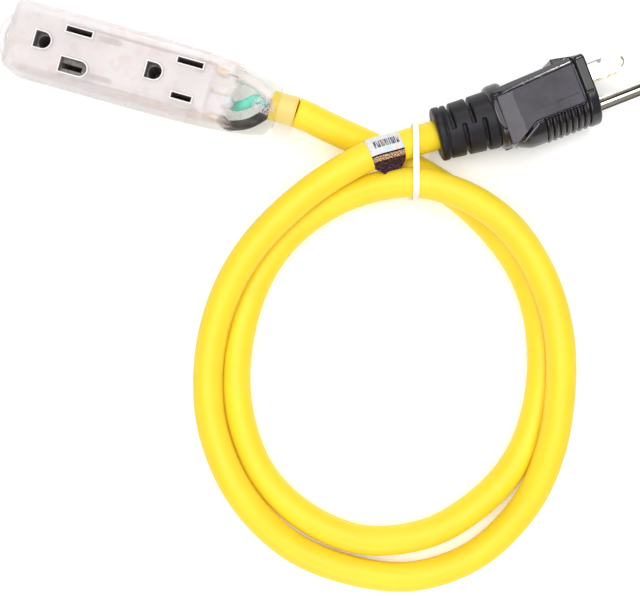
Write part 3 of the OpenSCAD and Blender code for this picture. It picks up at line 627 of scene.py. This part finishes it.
def block_field(x, y, z):
    """Block's body less its openings, which reach just below the floors of the liners in them."""
    gap = 0.3
    d = block_body(x, y, z)
    for gx in GROUND_X:
        d = smax(d, -np.maximum(d_outline(x - gx, y, gap), 19.3 - z), 0.5)
        d = np.maximum(d, -np.maximum(np.hypot(x - gx, y) - 3.07, 4.1 - z))
    wide_floor = 21.3
    for i, sx in enumerate(SLOT_X):
        for side, half in ((1, 5.02), (-1, 4.02)):
            top = z - wide_floor - 0.1 if side < 0 and i == 0 else -1e3
            depth = np.maximum(5.9 - z, top)
            d = smax(d, -np.maximum(rounded_box(x - sx, y - side * SLOT_Y, half, 1.32, 0.2), depth), 0.4)
    return smax(d, -np.maximum(wide_outline(x - SLOT_X[0], y + SLOT_Y, gap), wide_floor - z), 0.5)


def grommet_field(x, y, z):
    """Ring round the cord where it leaves the neck."""
    along, across = neck_frame(x, y, z)
    d = smax(across - 10, np.abs(along - 4.45) - 3.45, 1.8)
    return smax(d, CORD_R + 0.03 - across, 0.6)


shell = surface("clear_block", (-57.6, -14.2, -0.9), (51.5, 14.2, 27), 0.45, block_field)
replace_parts(dress(shell, clear), "block_overmold")
grommet = surface("cord_ring", (47.5, -10.2, 1.6), (57.7, 12.6, 24.4), 0.35, grommet_field)
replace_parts(dress(grommet, ring_mat), "cord_grommet")

# ---------------------------------------------------------------- conductors in the neck
WIRE_R = 1.9


def lay_point(a):
    """Place of a conductor on the jacket's cut face, a degrees round from +Y over the top."""
    r = 2.25
    return NECK - 1.4 * EXIT_DIR + r * np.array([0, math.cos(math.radians(a)), math.sin(math.radians(a))])


def wire(colour, points, lay_angle, look, r=WIRE_R):
    """Conductor from its crimp, straight out along the block, to the jacket."""
    line = catmull([*points, lay_point(lay_angle)], EXIT_DIR, EXIT_DIR, 8)
    obj = dress(tube(colour + "_wire", line, r, 24), look)
    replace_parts(obj, "block_" + colour + "_wire")


WHITE_RUN = [(29.4, 8.25, 9.5), (34, 8.3, 11.5), (40, 6.9, 13.8)]
BLACK_RUN = [(29.4, -8.25, 9.5), (33, -9.9, 11.2), (37.4, -9, 12.4), (41.2, -7, 12.8), (44.4, -3.9, 12.4)]
GREEN_RUN = [(29.4, 0, 4.5), (33.2, -2.2, 8), (37.4, -1.2, 13.6), (41.4, 2.4, 10.6)]
wire("white", WHITE_RUN, 30, white_pvc, WIRE_R + 0.25)
wire("black", BLACK_RUN, 210, black_pvc)
wire("green", GREEN_RUN, 275, green_pvc)

# ---------------------------------------------------------------- plug, in its own frame
GRIP_TOP = -5.2
PLATE_BACK, BEVEL_FROM = -34.3, -28.4
TAIL_FROM = -23.8
RIDGE_U, RIDGE_V = (-31.6, -23.2), (-10.5, -5.4)


def steps(value, *pairs):
    """Straight lines through (value, result) pairs."""
    return np.interp(value, [p[0] for p in pairs], [p[1] for p in pairs])


def plug_section(v, w, half, top, centre, corner=2.4):
    """Round round the ground pin, square round the blades."""
    low = np.hypot(v - centre, w) - half
    qv, qw = v - top + corner, np.abs(w) - half + corner
    high = np.hypot(np.maximum(qv, 0), np.maximum(qw, 0)) + np.minimum(np.maximum(qv, qw), 0) - corner
    return np.where(v < centre, low, high)


def panel_flat(u):
    """Height of the plug's flat sides above its middle: level, then bevelled towards the cord."""
    return steps(u, (-36, 9.7), (PLATE_BACK, 10.3), (BEVEL_FROM, 11.95), (-4.5, 12.25))


def panel_outline(u, v):
    """Flat side seen from above: upper edge, lower edge that turns down along the grip's end, both ends."""
    tail = np.maximum((u - TAIL_FROM) * 0.506 - (v - GRIP_TOP) * 0.86, -(v + 10.2))
    low = np.where(u < TAIL_FROM, tail, GRIP_TOP - v)
    ends = np.maximum(u + 5.0, PLATE_BACK - u + (v + 1) * 0.03)
    return np.maximum(np.maximum(low, v - steps(u, (-34, 7.9), (-5, 9.2))), ends)


def plug_barrel(u, v, w):
    """Body of the plug, with two flat sides and two chamfers above each of them."""
    low_r = steps(u, (-36, 9.2), (-33, 9.9), (-30.5, 11.3), (-27.5, 12.2), (-24, 12.4), (-4, 12.3))
    centre = steps(u, (-34, 0.4), (-26, -0.9), (-4, -1))
    top = steps(u, (-34, 11.3), (-4.5, 12.0))
    d = plug_section(v, w, low_r, top, centre, 1.8)
    d = smax(d, np.abs(w) - panel_flat(u), 0.3)
    over, past = np.abs(w) - panel_flat(u), v - steps(u, (-34, 8.35), (-5, 9.65))
    for a, da, dv in ((math.radians(24.4), 0, 0), (math.radians(55), 0.41, -0.9)):
        d = smax(d, (over + da) * math.cos(a) + (past + dv) * math.sin(a), 0.12)
    return smax(d, np.maximum(u + 2, -34.4 - u), 0.8)


def grip(d, u, v, w):
    """Hollow on the pin's side with seven ribs, and a smooth swelling behind it."""
    r = np.hypot(v + 1, w)
    hollow = np.maximum(np.maximum(v + 5.6, u + 4.6), -u - 20.9)
    d = smax(d, -smax(hollow, 11.0 - r, 0.5), 0.5)
    ribs = np.full_like(u, 1e3)
    for i in range(7):
        ribs = np.minimum(ribs, np.abs(u + 5.75 + 2.37 * i) - 0.62)
    ribs = smax(smax(ribs, r - 12.75, 0.9), v + 5.6, 0.6)
    return smin(d, np.maximum(ribs, 8 - r), 0.3)


def plates(d, u, v, w):
    """Flat sides that stand as plates, with a groove round them, a ridge below and a faint line."""
    outline, over = panel_outline(u, v), np.abs(w) - panel_flat(u)
    half = np.where(v > 7.4, 0.16, 0.42)
    groove = np.maximum(np.abs(outline - half) - half, -1.15 - over)
    d = smax(d, -groove, 0.2)
    plate = smax(outline, over, 0.35)
    d = smin(d, np.maximum(plate, 7 - np.abs(w)), 0.12)
    ridge = smax(np.abs(outline - 1.25) - 0.38, over + 0.2, 0.2)
    ridge = np.maximum(ridge, np.maximum(u - RIDGE_U[1], RIDGE_V[0] - v))
    ridge = np.maximum(ridge, np.maximum(v - RIDGE_V[1], 8 - np.abs(w)))
    d = smin(d, np.maximum(ridge, RIDGE_U[0] - u), 0.2)
    line = np.maximum(np.abs(v + 1.7 - (u + 20) * 0.02) - 0.16, np.abs(u + 15.5) - 9.5)
    line = np.maximum(line, -0.14 - over)
    return smax(d, -line, 0.1)


def plug_field(u, v, w):
    """The whole plug: barrel, grip and plates, then its flange, lip, collar and the prongs' seats."""
    d = plates(grip(plug_barrel(u, v, w), u, v, w), u, v, w)
    flange = smax(plug_section(v, w, 12.9, 11.7, -1), np.abs(u + 2.0) - 2.0, 1.0)
    notch = np.maximum(np.abs(v + 2.4) - 0.35, np.maximum(12.3 - np.abs(w), np.abs(u + 2.6) - 1.4))
    flange = smax(flange, -notch, 0.3)
    gap = np.maximum(np.abs(u + 4.5) - 0.42, -plug_section(v, w, 11.2, 10.9, -1))
    d = smin(smax(d, -gap, 0.3), flange, 0.15)
    # lip over the blades' side, rising towards the cord
    lip = smax(v - 11.7 + (u + 0.4) * 0.215, np.maximum(u + 0.3, -u - 11), 0.7)
    lip = smax(lip, np.maximum(np.abs(w) - 8, 10 - v), 0.7)
    d = smin(d, lip, 0.3)
    # collar ring at the back, cut off by the bevel of the flat sides
    ring = smax(np.hypot(v - RELIEF_FACE[1], w) - 12.1, np.abs(u + 33.4) - 3.5, 2.6)
    ring = smax(ring, np.abs(w) - np.where(u < PLATE_BACK, 11.0, panel_flat(u) - 0.35), 0.8)
    d = smin(d, ring, 0.4)
    blades = rounded_box(v - BLADE_V, np.abs(w) - SLOT_Y, 3.9, 1.35, 0.5)
    seat = np.minimum(blades, np.hypot(v - PIN_V, w) - 3.1)
    return smax(d, -np.maximum(seat, -0.45 - u), 0.3)


def part_of_plug(u, v, w):
    """Which of the plug's materials a face takes: 0 body, 1 flat side, 2 polished edge, 3 rear bevel with
    painted light.
    """
    outline, over = panel_outline(u, v), abs(w) - panel_flat(u)
    if outline < -0.1 and over > -0.1:
        return 1 if u > BEVEL_FROM else 3
    if RIDGE_U[0] < u < -4.6 and abs(outline - 0.8) < 0.6 and v > 7 and over > -0.75:
        return 2
    if RIDGE_U[0] < u < RIDGE_U[1] and abs(outline - 1.25) < 0.45 and v < RIDGE_V[1] and over > -0.5:
        return 2
    return 0


def from_plug(points):
    return PLUG + points @ np.array([PLUG_X, PLUG_Y, UP])


plug = surface("plug_moulding", (-38, -15, -14), (0.9, 15.5, 14), 0.3, plug_field, from_plug)
dress(plug, dark)
for look in (panel_mat, edge_mat, lit_bevel_mat):
    plug.data.materials.append(look.mat)
for poly in plug.data.polygons:
    spot = np.array(poly.center) / MM - PLUG
    poly.material_index = part_of_plug(spot.dot(PLUG_X), spot.dot(PLUG_Y), spot[2])
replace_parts(plug, "plug_body", "blade_bridge")

# ---------------------------------------------------------------- strain relief


def relief_field(x, y, z):
    """The sleeve along its own axis x, from the plug outwards; y is away from the blades' side."""
    r = np.hypot(y, z)
    d = smax(r - 10.7 + 0.055 * x, np.maximum(-x - 1, x - 20.9), 1.3)
    d = smin(d, smax(r - 9.95, np.abs(x - 19.4) - 1.5, 1.2), 0.4)
    for i in range(4):
        side = y if i % 2 == 0 else -y
        cut = smax(np.abs(x - 3.9 - 3.7 * i) - 0.72, -side - 0.4, 0.6)
        d = smax(d, -smax(cut, 8.0 - r, 0.4), 0.4)
    d = smax(d, -np.maximum(np.abs(x - 17.6) - 0.3, 9.3 - r), 0.4)
    return smax(d, CORD_R + 0.05 - r, 0.5)


def from_relief(points):
    return plug_world(*RELIEF_FACE) + points @ np.array([RELIEF_OUT, np.cross(UP, RELIEF_OUT), UP])


relief = surface("relief_sleeve", (-1.6, -11.4, -11.4), (21.6, 11.4, 11.4), 0.3, relief_field, from_relief)
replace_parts(dress(relief, sleeve_mat), "plug_relief")

# ---------------------------------------------------------------- CAD nodes that stay, with their materials
KEPT = [
    (milky, "carrier_base carrier_cover"),
    (liner, "ground_liner_1 ground_liner_2 neutral_liner_1 neutral_liner_2 hot_liner_1 hot_liner_2"),
    (brass, "neutral_contact_1 neutral_contact_2 hot_contact_1 hot_contact_2"),
    (brass, "ground_contact_1 ground_contact_2 neutral_bus hot_bus ground_bus plug_crimps"),
    (tail_brass, "contact_tails"),
    (tin, "contact_rivets lamp_leads"),
    (lamp_mat, "pilot_lamp"),
    (clay, "lamp_resistor"),
    (copper, "block_wire_ends plug_wire_ends"),
    (yellow, "block_jacket_end plug_jacket_end"),
    (tie_mat, "tie_strap tie_head"),
    (blade_metal, "hot_blade"),
    (plated, "neutral_blade"),
    (pin_metal, "ground_pin"),
    (white_pvc, "plug_white_wire"),
    (black_pvc, "plug_black_wire"),
    (green_pvc, "plug_green_wire"),
]
for look, names in KEPT:
    for name in names.split():
        dress(CAD[name], look)

# ---------------------------------------------------------------- floor and light
FLOOR_HALF, FLOOR_Z = 3000, -0.15
corners = [(a * FLOOR_HALF, b * FLOOR_HALF, FLOOR_Z) for a, b in ((-1, -1), (1, -1), (1, 1), (-1, 1))]
floor = add_mesh("floor", corners, [(0, 1, 2, 3)], smooth=False)
floor_look = material("paper_floor", (0.93, 0.93, 0.93), rough=0.9, vary=0.002, scale=2, bump=0.0,
                      Emission_Color=(1, 1, 1), Emission_Strength=0.2)
dress(floor, floor_look)

world = bpy.data.worlds.new("studio")
world.use_nodes = True
background = world.node_tree.nodes["Background"]
background.inputs["Color"].default_value = (1, 1, 1, 1)
background.inputs["Strength"].default_value = 0.3
bpy.context.scene.world = world


def softbox(name, place, size, power, target=(0.08, -0.05, 0)):
    """Square light, aimed at the middle of the cord unless a target is given."""
    data = bpy.data.lights.new(name, "AREA")
    data.shape = "SQUARE"
    data.size = size
    data.energy = power
    light = bpy.data.objects.new(name, data)
    light.location = place
    light.rotation_euler = (Vector(target) - Vector(place)).to_track_quat("-Z", "Y").to_euler()
    bpy.context.scene.collection.objects.link(light)


softbox("overhead", (0.12, 0.1, 1.0), 1.0, 8.6, (0.12, 0.1, 0))
softbox("key", (-0.10, 0.69, 0.50), 0.12, 1.5)
softbox("fill", (0.25, -0.75, 0.45), 0.4, 2.0)
softbox("accent", (-0.22, -0.14, 1.0), 0.25, 1.0)
scene = bpy.context.scene
scene.view_settings.view_transform = "Standard"
scene.view_settings.look = "None"
